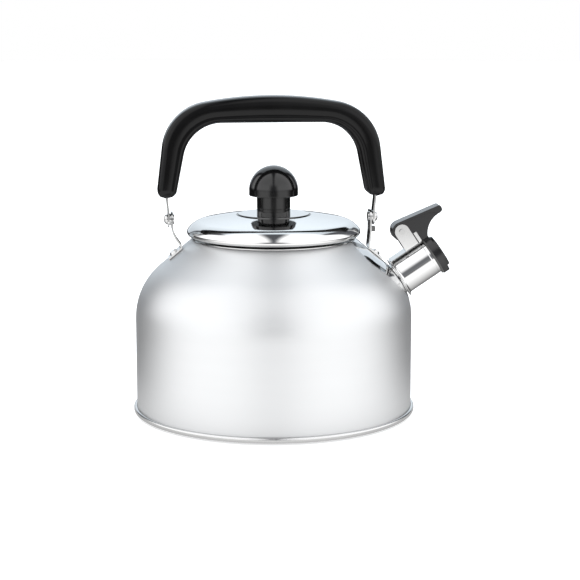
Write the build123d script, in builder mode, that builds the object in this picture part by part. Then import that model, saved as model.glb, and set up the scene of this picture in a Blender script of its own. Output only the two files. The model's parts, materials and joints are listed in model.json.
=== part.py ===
"""Stovetop whistling kettle: stainless body with an encapsulated base, folding bail handle,
lift-off lid with a mushroom knob, and a pull-off spout whistle with a sprung trigger cap.

Millimetres, +Z up. The origin is on the kettle's axis, on the face that rests on the stove.
The spout points to +X, and the bail folds about the X direction.
"""

from build123d import *
import math
import os

os.makedirs("parts", exist_ok=True)

# ------------------------------------------------------------------ driving dimensions
# Kettle body
body_radius = 100.5
steel_wall = 0.6
shoulder_start = 70.0
shoulder_radius = 48.0
shoulder_sweep = 50.0
neck_cone_radius = 59.6
neck_lip_radius = 1.6
neck_seat_width = 1.6
neck_flange_depth = 5.0

# Encapsulated base
pan_floor = 3.0
pan_thickness = 0.8
seam_radius = 102.8
seam_bottom = 1.2
seam_top = 5.2
seam_round = 1.2
base_disc_radius = 85.0
base_skin = 0.6

# Lid
lid_radius = 62.8
lid_rim_height = 131.8
lid_rim_radius = 4.0
lid_rim_turn = 35.0
lid_turn_radius = 16.0
lid_crown_start = 78.0
lid_crown_radius = 220.0
plateau_radius = 26.0
plateau_step = 1.2
plateau_z = 145.3
lid_bore = 2.2
skirt_gap = 0.4
skirt_depth = 7.0
skirt_flange = 3.9
seat_gap = 0.05

# Knob
knob_cap_radius = 17.7
knob_neck_radius = 12.1
knob_top = 180.0
knob_cap_underside = 158.2
knob_groove = 0.35
insert_radius = 3.4
insert_length = 12.0
screw_radius = 2.0
screw_head_radius = 4.2
screw_head_height = 2.6
washer_plate_radius = 8.0
washer_plate_thickness = 0.8

# Spout and whistle, measured along the spout's axis (s) from its seat on the shoulder
spout_angle = 33.5
spout_seat_x = 92.6
spout_seat_z = 96.4
spout_outer = 12.0
spout_wall = 0.8
spout_reach = 22.0
spout_root = 5.0
sleeve_start = -0.4
sleeve_end = 28.3
sleeve_outer = 13.5
sleeve_wall = 0.6
sleeve_flange_radius = 15.8
sleeve_flange_thickness = 0.8
liner_clearance = 0.08
liner_length = 12.0

# Whistle bracket: a channel on the sleeve, along the spout's axis (s) and across it (n)
pin_s = 19.7
pin_n = 28.6
pin_radius = 1.25
pin_head_radius = 2.1
pin_head_thickness = 0.8
pin_clearance = 0.06
ear_radius = 5.35
ear_inside = 6.0
ear_thickness = 0.8
channel_start = 1.0
channel_end = 28.2
channel_lift = 0.5
channel_bend = 1.6
channel_rib_width = 5.0
web_top_n = 20.0
end_tab_width = 2.3
end_tab_top = 23.0
edge_break = 0.6

# Trigger lever and cap
hood_radius = 7.3
hood_wide_end = 128.0
plate_slope = -10.8
plate_length = 33.4
plate_thickness = 1.65
plate_width = 13.2
plate_edge_radius = 0.5
nose_radius = 1.9
nose_low = (53.0, 25.0)
throat_start = (49.8, 24.6)
throat_middle = (39.4, 21.8)
lever_web_width = 11.4
cap_radius = 15.8
cap_start = 29.4
cap_end = 33.9
cap_cover_radius = 12.2
cap_cover_height = 2.4
steam_hole = 2.4
chamber_radius = 10.4

# Bail handle and its lugs. The bail's middle sits a little off the body's axis
bail_offset = -1.6
pivot_x = 74.4
pivot_z = 142.0
lug_thickness = 1.2
lug_width = 13.0
lug_top = 147.5
lug_knee_drop = 10.0
lug_lean_radius = 20.0
lug_foot_radius = 1.6
foot_lift = 0.15
foot_length = 12.0
foot_bend_radius = {-1: 66.4, 1: 69.0}
foot_rivet_at = 6.8
foot_rivet_radius = 1.8
foot_rivet_head = 3.4
foot_rivet_dome = 1.6
foot_rivet_tail = 0.9
foot_rivet_slack = 0.25
foot_rivet_taper = 35.0
buffer_size = 3.7
buffer_reach = 3.4
buffer_stem = 1.0
buffer_z = 133.0
strap_thickness = 1.2
strap_width = 9.6
strap_tail = 5.8
strap_gap = 1.3
strap_kink_z = 147.5
strap_leg_x = 76.1
strap_shoulder = (67.0, 221.0)
strap_bends = (15.0, 25.0, 32.0)
washer_thickness = 1.2
washer_radius = 4.2
rivet_radius = 2.0
rivet_clearance = 0.05
rivet_head_radius = 3.6
rivet_dome = 2.4
rivet_tail_head = 1.0
grip_width = 23.0
grip_top = 230.2
grip_underside = 211.0
grip_foot = 157.5
grip_foot_outer = 82.9
grip_foot_inner = 69.2
grip_outer_corner = (75.1, 220.95)
grip_outer_rise = 4.35
grip_outer_radii = (37.0, 265.0, 37.0)
grip_inner_corner = 58.5
grip_inner_radius = 28.0
grip_foot_radius = 6.4
grip_edge_radius = 6.2


def polar(centre, radius, degrees):
    """A point on a circle, in the plane of the sketch."""
    angle = math.radians(degrees)
    return (centre[0] + radius * math.cos(angle), centre[1] + radius * math.sin(angle))


# ------------------------------------------------------------------ shared geometry
# The shoulder's arc ends where the straight cone of the neck begins
shoulder_centre = (body_radius - shoulder_radius, shoulder_start)
cone_start = polar(shoulder_centre, shoulder_radius, shoulder_sweep)
cone_normal = math.radians(shoulder_sweep)
cone_direction = (-math.sin(cone_normal), math.cos(cone_normal))
cone_length = (cone_start[0] - neck_cone_radius) / math.sin(cone_normal)
shell_foot = pan_floor + pan_thickness

# The whistle's frames: one across the spout, one along it with s to the right and n up
spout_seat = (spout_seat_x, 0, spout_seat_z)
spout_direction = (math.cos(math.radians(spout_angle)), 0, math.sin(math.radians(spout_angle)))
spout_plane = Plane(origin=spout_seat, x_dir=(0, 1, 0), z_dir=spout_direction)
whistle_profile_plane = Plane(origin=spout_seat, x_dir=spout_direction, z_dir=(0, -1, 0))

# The bail's own frame: its plane, and the faces of the lugs and the strap from its middle
bail_plane = Plane(origin=(bail_offset, 0, 0), x_dir=(1, 0, 0), z_dir=(0, -1, 0))
lug_outer_x = pivot_x - strap_thickness / 2 - strap_gap
strap_outer_x = pivot_x + strap_thickness / 2


def on_cone(radius, lift):
    """A point above the cone of the shoulder, in the plane of the profile."""
    height = cone_start[1] + (cone_start[0] - radius) / math.tan(cone_normal)
    return (radius + lift * math.cos(cone_normal), height + lift * math.sin(cone_normal))


def along_foot(side, distance):
    """A point on a foot's upper face, that far down the cone from its bend."""
    bend = on_cone(foot_bend_radius[side], foot_lift + lug_thickness)
    return (bend[0] - distance * cone_direction[0], bend[1] - distance * cone_direction[1])


def foot_plane(side, lift):
    """A plane over the foot's rivet, facing away from the shoulder."""
    seat = along_foot(side, foot_rivet_at)
    outward = (side * math.cos(cone_normal), 0, math.sin(cone_normal))
    origin = (
        side * (seat[0] + lift * math.cos(cone_normal)),
        0,
        seat[1] + lift * math.sin(cone_normal),
    )
    return Plane(origin=origin, x_dir=(0, 1, 0), z_dir=outward)


def bail_side_plane(side, distance):
    """A plane across the bail's pivots, that far out from the bail's middle."""
    return Plane.YZ.offset(bail_offset + side * distance)


# ------------------------------------------------------------------ kettle body
# The wall rises straight, turns over a round shoulder and runs up a straight cone to the
# neck, where it bends flat as the lid's seat and then down as a short flange.
with BuildPart() as kettle_body:
    with BuildSketch(Plane.XZ):
        with BuildLine():
            Line((body_radius, shell_foot), (body_radius, shoulder_start))
            shoulder = CenterArc(shoulder_centre, shoulder_radius, 0, shoulder_sweep)
            cone = PolarLine(shoulder @ 1, cone_length, direction=shoulder % 1)
            lip = JernArc(cone @ 1, cone % 1, neck_lip_radius, 90 - shoulder_sweep)
            seat = PolarLine(lip @ 1, neck_seat_width, direction=lip % 1)
            turn = JernArc(seat @ 1, seat % 1, neck_lip_radius, 90)
            PolarLine(turn @ 1, neck_flange_depth, direction=turn % 1)
            offset(amount=steel_wall, side=Side.LEFT)
        make_face()
    revolve(axis=Axis.Z)
    with BuildSketch(spout_plane.offset(-2 * spout_root)):
        Circle(spout_outer)
    extrude(amount=4 * spout_root, mode=Mode.SUBTRACT)
    for side in (-1, 1):
        with BuildSketch(foot_plane(side, lug_thickness)):
            Circle(foot_rivet_radius)
        extrude(amount=-4 * lug_thickness, mode=Mode.SUBTRACT)

neck_seat_z = (seat @ 1).Y
neck_opening = (turn @ 1).X

kettle_body.part.label = "kettle_body"
export_step(kettle_body.part, "parts/kettle_body.step")

# ------------------------------------------------------------------ base
with BuildPart() as base_pan:
    with BuildSketch(Plane.XZ):
        with BuildLine():
            Polyline(
                (0, pan_floor),
                (body_radius - 3.5, pan_floor),
                (body_radius - 1.2, seam_bottom),
                (seam_radius, seam_bottom),
                (seam_radius, seam_top),
                (body_radius, seam_top),
                (body_radius, shell_foot),
                (0, shell_foot),
                close=True,
            )
        make_face()
    revolve(axis=Axis.Z)
    fillet(
        base_pan.edges().filter_by(lambda edge: edge.bounding_box().max.X > seam_radius - 0.01),
        radius=seam_round,
    )

base_pan.part.label = "base_pan"
export_step(base_pan.part, "parts/base_pan.step")

with BuildPart() as heat_spreader:
    with BuildSketch(Plane.XY.offset(base_skin)):
        Circle(base_disc_radius - base_skin)
    extrude(amount=pan_floor - base_skin)

heat_spreader.part.label = "heat_spreader"
export_step(heat_spreader.part, "parts/heat_spreader.step")

with BuildPart() as induction_plate:
    with BuildSketch(Plane.XY):
        Circle(base_disc_radius)
    extrude(amount=pan_floor)
    fillet(induction_plate.edges().group_by(Axis.Z)[0], radius=0.8)
    with BuildSketch(Plane.XY.offset(base_skin)):
        Circle(base_disc_radius - base_skin)
    extrude(amount=pan_floor, mode=Mode.SUBTRACT)

induction_plate.part.label = "induction_plate"
export_step(induction_plate.part, "parts/induction_plate.step")

# ------------------------------------------------------------------ spout
with BuildPart() as spout_tube:
    with BuildSketch(spout_plane.offset(-spout_root)):
        Circle(spout_outer)
        Circle(spout_outer - spout_wall, mode=Mode.SUBTRACT)
    extrude(amount=spout_root + spout_reach)

spout_tube.part.label = "spout_tube"
export_step(spout_tube.part, "parts/spout_tube.step")


# ------------------------------------------------------------------ lugs that carry the bail
# Each lug is one bent strip: an upright with the pivot hole, a lean-in towards the neck,
# and a foot that lies on the cone of the shoulder and is riveted to it.
def make_lug(side):
    """The bent strip on one side of the neck. side is +1 at the spout and -1 opposite."""
    upright_x = bail_offset + side * lug_outer_x
    bend = along_foot(side, 0)
    foot_end = along_foot(side, foot_length)
    with BuildPart() as lug:
        with BuildSketch(Plane.XZ):
            with BuildLine():
                path = FilletPolyline(
                    (upright_x, lug_top),
                    (upright_x, pivot_z - lug_knee_drop),
                    (side * bend[0], bend[1]),
                    (side * foot_end[0], foot_end[1]),
                    radius=(lug_lean_radius, lug_foot_radius),
                )
                inward = Side.RIGHT if side > 0 else Side.LEFT
                offset(path, amount=lug_thickness, side=inward)
            make_face()
        extrude(amount=lug_width / 2, both=True)
        fillet(lug.edges().filter_by(Axis.X).group_by(Axis.Z)[-1], radius=0.8 * lug_width / 2)
        with BuildSketch(bail_side_plane(side, lug_outer_x - 2 * lug_thickness)):
            with Locations((0, pivot_z)):
                Circle(rivet_radius)
        extrude(amount=side * 4 * lug_thickness, mode=Mode.SUBTRACT)
        if side > 0:
            with BuildSketch(bail_side_plane(side, lug_outer_x - 2 * lug_thickness)):
                with Locations((0, buffer_z)):
                    Circle(buffer_stem)
            extrude(amount=side * 4 * lug_thickness, mode=Mode.SUBTRACT)
        with BuildSketch(foot_plane(side, lug_thickness)):
            Circle(foot_rivet_radius)
        extrude(amount=-3 * lug_thickness, mode=Mode.SUBTRACT)
    return lug


left_lug = make_lug(-1)
left_lug.part.label = "left_lug"
export_step(left_lug.part, "parts/left_lug.step")

right_lug = make_lug(1)
right_lug.part.label = "right_lug"
export_step(right_lug.part, "parts/right_lug.step")

# A small square buffer stands out of the lug at the spout, pushed in by its round stem
with BuildPart() as lug_buffer:
    with BuildSketch(bail_side_plane(1, lug_outer_x)):
        with Locations((0, buffer_z)):
            Rectangle(buffer_size, buffer_size)
    extrude(amount=buffer_reach)
    with BuildSketch(bail_side_plane(1, lug_outer_x - lug_thickness)):
        with Locations((0, buffer_z)):
            Circle(buffer_stem)
    extrude(amount=lug_thickness)
    fillet(lug_buffer.edges().group_by(Axis.X)[-1], radius=edge_break)

lug_buffer.part.label = "lug_buffer"
export_step(lug_buffer.part, "parts/lug_buffer.step")

# Rivets through the lugs' feet and the shoulder: a low dome outside, a flat head inside
foot_rivet_shank = lug_thickness + foot_lift + steel_wall + foot_rivet_slack
with BuildPart() as foot_rivets:
    for side in (-1, 1):
        with BuildSketch(foot_plane(side, 0)):
            Circle(foot_rivet_radius)
        extrude(amount=-foot_rivet_shank)
        with BuildSketch(foot_plane(side, 0)):
            Circle(foot_rivet_head)
        extrude(amount=foot_rivet_dome, taper=foot_rivet_taper)
        with BuildSketch(foot_plane(side, -foot_rivet_shank)):
            Circle(foot_rivet_head)
        extrude(amount=-foot_rivet_tail)

foot_rivets.part.label = "foot_rivets"
export_step(foot_rivets.part, "parts/foot_rivets.step")

# Pivot rivets: a peened head inside the lug, a shank and a dome outside the strap
rivet_shank = lug_thickness + strap_gap + strap_thickness + rivet_clearance
with BuildPart() as pivot_rivets:
    for side in (-1, 1):
        inner_face = bail_side_plane(side, lug_outer_x - lug_thickness)
        outer_face = bail_side_plane(side, lug_outer_x - lug_thickness + rivet_shank)
        with BuildSketch(inner_face):
            with Locations((0, pivot_z)):
                Circle(rivet_radius)
        extrude(amount=side * rivet_shank)
        with BuildSketch(inner_face):
            with Locations((0, pivot_z)):
                Circle(rivet_head_radius)
        extrude(amount=-side * rivet_tail_head)
        with BuildSketch(outer_face):
            with Locations((0, pivot_z)):
                Circle(rivet_head_radius)
        extrude(amount=side * rivet_dome)
        fillet(
            pivot_rivets.edges().sort_by(lambda edge: side * edge.center().X)[-1],
            radius=0.9 * rivet_dome,
        )

pivot_rivets.part.label = "pivot_rivets"
export_step(pivot_rivets.part, "parts/pivot_rivets.step")

with BuildPart() as pivot_washers:
    for side in (-1, 1):
        with BuildSketch(bail_side_plane(side, lug_outer_x)):
            with Locations((0, pivot_z)):
                Circle(washer_radius)
                Circle(rivet_radius, mode=Mode.SUBTRACT)
        extrude(amount=side * washer_thickness)

pivot_washers.part.label = "pivot_washers"
export_step(pivot_washers.part, "parts/pivot_washers.step")

# ------------------------------------------------------------------ bail handle
# A spring-steel strap runs from pivot to pivot through the whole grip
strap_run = [
    (strap_outer_x, pivot_z - strap_tail),
    (strap_outer_x, strap_kink_z),
    (strap_leg_x, grip_foot),
    strap_shoulder,
]
with BuildPart() as handle_strap:
    with BuildSketch(bail_plane):
        with BuildLine():
            FilletPolyline(
                *[(-x, z) for x, z in strap_run],
                *reversed(strap_run),
                radius=strap_bends + strap_bends[::-1],
            )
            offset(amount=strap_thickness, side=Side.RIGHT)
        make_face()
    extrude(amount=strap_width / 2, both=True)
    tails = handle_strap.edges().filter_by(Axis.X).group_by(Axis.Z)[0]
    fillet(tails, radius=0.95 * strap_width / 2)
    with BuildSketch(bail_side_plane(-1, 1.1 * pivot_x)):
        with Locations((0, pivot_z)):
            Circle(rivet_radius + rivet_clearance)
    extrude(amount=2.2 * pivot_x, mode=Mode.SUBTRACT)

handle_strap.part.label = "handle_strap"
export_step(handle_strap.part, "parts/handle_strap.step")

# The moulded grip: an arch, thicker along the top than at the ends of its legs
with BuildPart() as handle_grip:
    with BuildSketch(bail_plane):
        with BuildLine():
            outer = FilletPolyline(
                (-grip_foot_outer, grip_foot),
                (-grip_outer_corner[0], grip_outer_corner[1]),
                (0, grip_top + grip_outer_rise),
                grip_outer_corner,
                (grip_foot_outer, grip_foot),
                radius=grip_outer_radii,
            )
            inner = FilletPolyline(
                (-grip_foot_inner, grip_foot),
                (-grip_inner_corner, grip_underside),
                (grip_inner_corner, grip_underside),
                (grip_foot_inner, grip_foot),
                radius=grip_inner_radius,
            )
            Line(outer @ 0, inner @ 0)
            Line(outer @ 1, inner @ 1)
        make_face()
        fillet(vertices().group_by(Axis.Y)[0], radius=grip_foot_radius)
    extrude(amount=grip_width / 2, both=True)
    fillet(
        handle_grip.faces().filter_by(Axis.Y).edges(),
        radius=grip_edge_radius,
    )
    add(handle_strap.part, mode=Mode.SUBTRACT)

handle_grip.part.label = "handle_grip"
export_step(handle_grip.part, "parts/handle_grip.step")

# ------------------------------------------------------------------ lid
rim_centre = (lid_radius - lid_rim_radius, lid_rim_height)
turn_centre = polar(rim_centre, lid_rim_radius - lid_turn_radius, lid_rim_turn)
crown_centre = polar(turn_centre, lid_turn_radius - lid_crown_radius, lid_crown_start)
crown_edge = plateau_radius + plateau_step
crown_end = math.degrees(math.acos((crown_edge - crown_centre[0]) / lid_crown_radius))
hem_start = -100.0

with BuildPart() as lid_shell:
    with BuildSketch(Plane.XZ):
        with BuildLine():
            CenterArc(rim_centre, lid_rim_radius, hem_start, lid_rim_turn - hem_start)
            CenterArc(turn_centre, lid_turn_radius, lid_rim_turn, lid_crown_start - lid_rim_turn)
            crown = CenterArc(
                crown_centre, lid_crown_radius, lid_crown_start, crown_end - lid_crown_start
            )
            Line(crown @ 1, (plateau_radius, plateau_z))
            Line((plateau_radius, plateau_z), (lid_bore, plateau_z))
            offset(amount=steel_wall, side=Side.LEFT)
        make_face()
    revolve(axis=Axis.Z)

lid_shell.part.label = "lid_shell"
export_step(lid_shell.part, "parts/lid_shell.step")

# The skirt locates the lid in the neck, and its flange rests on the neck's seat
skirt_radius = neck_opening - skirt_gap
hem_underside = lid_rim_height - lid_rim_radius
with BuildPart() as lid_skirt:
    with BuildSketch(Plane.XZ):
        with BuildLine():
            Polyline(
                (skirt_radius - steel_wall, neck_seat_z - skirt_depth),
                (skirt_radius, neck_seat_z - skirt_depth),
                (skirt_radius, neck_seat_z + seat_gap),
                (skirt_radius + skirt_flange, neck_seat_z + seat_gap),
                (skirt_radius + skirt_flange, hem_underside),
                (skirt_radius - steel_wall, hem_underside),
                close=True,
            )
        make_face()
    revolve(axis=Axis.Z)

lid_skirt.part.label = "lid_skirt"
export_step(lid_skirt.part, "parts/lid_skirt.step")

# ------------------------------------------------------------------ knob
knob_dome_centre = knob_top - knob_cap_radius
with BuildPart() as lid_knob:
    with BuildSketch(Plane.XZ):
        with BuildLine():
            neck_side = Line(
                (knob_neck_radius, plateau_z), (knob_neck_radius, knob_cap_underside)
            )
            ledge = Line(neck_side @ 1, (knob_cap_radius, knob_cap_underside))
            cap_side = Line(ledge @ 1, (knob_cap_radius, knob_dome_centre))
            dome = CenterArc((0, knob_dome_centre), knob_cap_radius, 0, 90)
            Line(dome @ 1, (0, plateau_z))
            Line((0, plateau_z), neck_side @ 0)
        make_face()
        for groove_z in (plateau_z + 1.6, plateau_z + 3.2):
            with Locations((knob_neck_radius, groove_z)):
                Circle(knob_groove, mode=Mode.SUBTRACT)
    revolve(axis=Axis.Z)
    fillet(
        lid_knob.edges().filter_by(
            lambda edge: abs(edge.center().Z - knob_cap_underside) < 0.01
            and edge.bounding_box().max.X > knob_cap_radius - 0.01
        ),
        radius=0.7,
    )
    with BuildSketch(Plane.XY.offset(plateau_z)):
        Circle(insert_radius)
    extrude(amount=insert_length, mode=Mode.SUBTRACT)

lid_knob.part.label = "lid_knob"
export_step(lid_knob.part, "parts/lid_knob.step")

with BuildPart() as knob_insert:
    with BuildSketch(Plane.XY.offset(plateau_z)):
        Circle(insert_radius)
        Circle(screw_radius, mode=Mode.SUBTRACT)
    extrude(amount=insert_length)

knob_insert.part.label = "knob_insert"
export_step(knob_insert.part, "parts/knob_insert.step")

lid_underside = plateau_z - steel_wall
with BuildPart() as knob_washer:
    with BuildSketch(Plane.XY.offset(lid_underside)):
        Circle(washer_plate_radius)
        Circle(screw_radius, mode=Mode.SUBTRACT)
    extrude(amount=-washer_plate_thickness)

knob_washer.part.label = "knob_washer"
export_step(knob_washer.part, "parts/knob_washer.step")

screw_seat = lid_underside - washer_plate_thickness
with BuildPart() as knob_screw:
    with BuildSketch(Plane.XY.offset(screw_seat)):
        Circle(screw_head_radius)
    extrude(amount=-screw_head_height)
    fillet(knob_screw.edges().group_by(Axis.Z)[0], radius=1.2)
    with BuildSketch(Plane.XY.offset(screw_seat)):
        Circle(screw_radius)
    extrude(amount=insert_length)
    with BuildSketch(Plane.XY.offset(screw_seat - screw_head_height)):
        for slot_angle in (0, 90):
            Rectangle(4.6, 0.9, rotation=slot_angle)
    extrude(amount=1.3, mode=Mode.SUBTRACT)

knob_screw.part.label = "knob_screw"
export_step(knob_screw.part, "parts/knob_screw.step")

# ------------------------------------------------------------------ whistle sleeve
sleeve_length = sleeve_end - sleeve_start
with BuildPart() as whistle_sleeve:
    with BuildSketch(spout_plane.offset(sleeve_start)):
        Circle(sleeve_outer)
    extrude(amount=sleeve_length)
    with BuildSketch(spout_plane.offset(sleeve_start)):
        Circle(sleeve_flange_radius)
    extrude(amount=sleeve_flange_thickness)
    with BuildSketch(spout_plane.offset(sleeve_start)):
        Circle(sleeve_outer - sleeve_wall)
    extrude(amount=sleeve_length, mode=Mode.SUBTRACT)

whistle_sleeve.part.label = "whistle_sleeve"
export_step(whistle_sleeve.part, "parts/whistle_sleeve.step")

with BuildPart() as sleeve_liner:
    with BuildSketch(spout_plane.offset(sleeve_start)):
        Circle(sleeve_outer - sleeve_wall)
        Circle(spout_outer + liner_clearance, mode=Mode.SUBTRACT)
    extrude(amount=liner_length)

sleeve_liner.part.label = "sleeve_liner"
export_step(sleeve_liner.part, "parts/sleeve_liner.step")

# ------------------------------------------------------------------ whistle bracket
# One bent sheet: a channel welded along the top of the sleeve, whose sides rise as two ears
# that hold the lever's pin, with a web across it behind them
pin_point = (pin_s, pin_n)
ear_start = pin_s - ear_radius
ear_end = pin_s + ear_radius
ear_outside = ear_inside + ear_thickness
channel_floor = sleeve_outer + channel_lift
channel_top = channel_floor + ear_thickness
ear_top = pin_n + ear_radius

with BuildPart() as whistle_bracket:
    with BuildSketch(spout_plane.offset(channel_start)):
        with BuildLine():
            section = FilletPolyline(
                (-ear_outside, ear_top),
                (-ear_outside, channel_floor),
                (ear_outside, channel_floor),
                (ear_outside, ear_top),
                radius=channel_bend,
            )
            offset(section, amount=ear_thickness, side=Side.LEFT)
        make_face()
    extrude(amount=channel_end - channel_start)
    with BuildSketch(whistle_profile_plane.offset(-ear_outside)):
        with BuildLine():
            Polyline(
                (channel_start, channel_floor),
                (channel_start, channel_top),
                (ear_start, channel_top),
                (ear_start, pin_n),
                (ear_end, pin_n),
                (ear_end, channel_top),
                (channel_end - end_tab_width, channel_top),
                (channel_end - end_tab_width, end_tab_top),
                (channel_end, end_tab_top),
                (channel_end, channel_floor),
                close=True,
            )
        make_face()
        with Locations(pin_point):
            Circle(ear_radius)
    extrude(amount=2 * ear_outside, mode=Mode.INTERSECT)
    with BuildSketch(whistle_profile_plane.offset(-ear_outside)):
        with Locations((ear_start + ear_thickness / 2, (channel_top + web_top_n) / 2)):
            Rectangle(ear_thickness, web_top_n - channel_top)
    extrude(amount=2 * ear_outside)
    with BuildSketch(spout_plane.offset(channel_start)):
        with Locations((0, channel_floor)):
            Rectangle(channel_rib_width, 2 * channel_lift + edge_break)
        Circle(sleeve_outer, mode=Mode.SUBTRACT)
    extrude(amount=channel_end - channel_start)
    with BuildSketch(whistle_profile_plane.offset(-ear_outside)):
        with Locations(pin_point):
            Circle(pin_radius)
    extrude(amount=2 * ear_outside, mode=Mode.SUBTRACT)

whistle_bracket.part.label = "whistle_bracket"
export_step(whistle_bracket.part, "parts/whistle_bracket.step")

pin_half = ear_outside + 0.1
with BuildPart() as hinge_pin:
    with BuildSketch(whistle_profile_plane.offset(-pin_half)):
        with Locations(pin_point):
            Circle(pin_radius)
    extrude(amount=2 * pin_half)
    for face, direction in ((-pin_half, -1), (pin_half, 1)):
        with BuildSketch(whistle_profile_plane.offset(face)):
            with Locations(pin_point):
                Circle(pin_head_radius)
        extrude(amount=direction * pin_head_thickness)

hinge_pin.part.label = "hinge_pin"
export_step(hinge_pin.part, "parts/hinge_pin.step")

# ------------------------------------------------------------------ trigger lever
# One moulding: a thumb plate that curls as a hood over the pin, a narrower web between the
# ears, and the ring of the cap
plate_normal = 90 + plate_slope
hood_sweep = hood_wide_end - plate_normal
plate_over = polar(pin_point, hood_radius, plate_normal)
plate_under = polar(pin_point, hood_radius - plate_thickness, plate_normal)


def plate_point(base, distance):
    """A point on a line along the thumb plate, that far from its foot above the pin."""
    return polar(base, distance, plate_slope)


spring_pocket = 5.2
pocket_radius = 4.3
upper_leg_slot = (12.0, 1.7)
upper_leg_at = (pin_s + 5.5, pin_n + 2.2)
lower_leg_slot = (8.4, 12.6)
lower_leg_at = (pin_s - 3.9, pin_n - 5.7)
lever_foot_n = channel_top + 0.5
lever_foot_s = ear_end + 0.6
cap_top = (cap_end - 0.1, cap_radius - 0.6)
cap_inside_n = 12.6

with BuildPart() as trigger_lever:
    with BuildSketch(whistle_profile_plane.offset(-plate_width / 2)):
        with BuildLine():
            hood_outer = CenterArc(pin_point, hood_radius, plate_normal, hood_sweep)
            hood_inner = CenterArc(
                pin_point, hood_radius - plate_thickness, plate_normal, hood_sweep
            )
            Line(hood_outer @ 1, hood_inner @ 1)
            Polyline(
                hood_outer @ 0,
                plate_point(plate_over, plate_length),
                nose_low,
                throat_start,
                plate_point(plate_under, 0.7 * plate_length),
                hood_inner @ 0,
            )
        make_face()
        fillet(vertices().sort_by(Axis.X)[-2:], radius=nose_radius)
    extrude(amount=plate_width)
    fillet(trigger_lever.faces().filter_by(Axis.Y).edges(), radius=plate_edge_radius)
    with BuildSketch(whistle_profile_plane.offset(-lever_web_width / 2)):
        with BuildLine():
            Polyline(
                (lever_foot_s, lever_foot_n),
                pin_point,
                polar(pin_point, hood_radius - edge_break, plate_normal),
                plate_point(plate_under, 0.9 * plate_length),
                throat_start,
            )
            ThreePointArc(throat_start, throat_middle, cap_top)
            Polyline(
                cap_top,
                (cap_end - 0.1, cap_inside_n),
                (cap_start, cap_inside_n),
                (cap_start, lever_foot_n),
                (lever_foot_s, lever_foot_n),
            )
        make_face()
        with Locations(pin_point):
            Circle(hood_radius - 0.2)
    extrude(amount=lever_web_width)
    with BuildSketch(spout_plane.offset(cap_start)):
        Circle(cap_radius)
    extrude(amount=cap_end - cap_start)
    with BuildSketch(spout_plane.offset(cap_start - 1)):
        Circle(chamber_radius)
    extrude(amount=cap_end - cap_start + 2, mode=Mode.SUBTRACT)
    with BuildSketch(whistle_profile_plane.offset(-lever_web_width / 2)):
        with Locations(pin_point):
            Circle(pin_radius + pin_clearance)
    extrude(amount=lever_web_width, mode=Mode.SUBTRACT)
    with BuildSketch(whistle_profile_plane.offset(-spring_pocket / 2)):
        with Locations(pin_point):
            Circle(pocket_radius)
        with Locations(upper_leg_at):
            Rectangle(*upper_leg_slot)
        with Locations(lower_leg_at):
            Rectangle(*lower_leg_slot)
    extrude(amount=spring_pocket, mode=Mode.SUBTRACT)

trigger_lever.part.label = "trigger_lever"
export_step(trigger_lever.part, "parts/trigger_lever.step")

# The closing spring: a coil round the pin, one leg down to the saddle, one along the web
coil_radius = 2.1
wire_radius = 0.3
coil_pitch = 0.75
coil_turns = 4 + (270 - (spout_angle + 90)) / 360
coil_height = coil_pitch * coil_turns
spring_leg = 7.0
leg_overlap = 0.1
coil_base = whistle_profile_plane.from_local_coords((pin_s, pin_n, -coil_height / 2))

with BuildPart() as lever_spring:
    with BuildLine():
        coil = Helix(
            coil_pitch,
            coil_height,
            coil_radius,
            center=coil_base,
            direction=(0, -1, 0),
            lefthand=True,
        )
    with BuildSketch(Plane(origin=coil @ 0, z_dir=coil % 0)):
        Circle(wire_radius)
    sweep(path=coil, is_frenet=True)
    across_axis = whistle_profile_plane.y_dir
    along_axis = whistle_profile_plane.x_dir
    leg_start = whistle_profile_plane.to_local_coords(coil @ 0)
    with BuildSketch(Plane(origin=coil @ 0 + across_axis * leg_overlap, z_dir=across_axis)):
        Circle(wire_radius)
    extrude(amount=channel_top + wire_radius - leg_start.Y - leg_overlap)
    with BuildSketch(Plane(origin=coil @ 1 - along_axis * leg_overlap, z_dir=along_axis)):
        Circle(wire_radius)
    extrude(amount=spring_leg)

lever_spring.part.label = "lever_spring"
export_step(lever_spring.part, "parts/lever_spring.step")

# ------------------------------------------------------------------ cap with its whistle
with BuildPart() as cap_seal:
    with BuildSketch(spout_plane.offset(sleeve_end + 0.1)):
        Circle(cap_radius - edge_break)
        Circle(chamber_radius, mode=Mode.SUBTRACT)
    extrude(amount=cap_start - sleeve_end - 0.1)

cap_seal.part.label = "cap_seal"
export_step(cap_seal.part, "parts/cap_seal.step")

disc_thickness = 0.6
disc_spacing = 1.5
inner_disc_start = cap_start + 0.1
outer_disc_start = inner_disc_start + disc_thickness + disc_spacing


def make_whistle_disc(start):
    """A thin disc across the cap's chamber, with the whistle's small centre hole."""
    with BuildPart() as disc:
        with BuildSketch(spout_plane.offset(start)):
            Circle(chamber_radius)
            Circle(1.6, mode=Mode.SUBTRACT)
        extrude(amount=disc_thickness)
    return disc


whistle_disc_inner = make_whistle_disc(inner_disc_start)
whistle_disc_inner.part.label = "whistle_disc_inner"
export_step(whistle_disc_inner.part, "parts/whistle_disc_inner.step")

whistle_disc_outer = make_whistle_disc(outer_disc_start)
whistle_disc_outer.part.label = "whistle_disc_outer"
export_step(whistle_disc_outer.part, "parts/whistle_disc_outer.step")

with BuildPart() as whistle_spacer:
    with BuildSketch(spout_plane.offset(inner_disc_start + disc_thickness)):
        Circle(chamber_radius)
        Circle(chamber_radius - 1.5, mode=Mode.SUBTRACT)
    extrude(amount=disc_spacing)

whistle_spacer.part.label = "whistle_spacer"
export_step(whistle_spacer.part, "parts/whistle_spacer.step")

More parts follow.
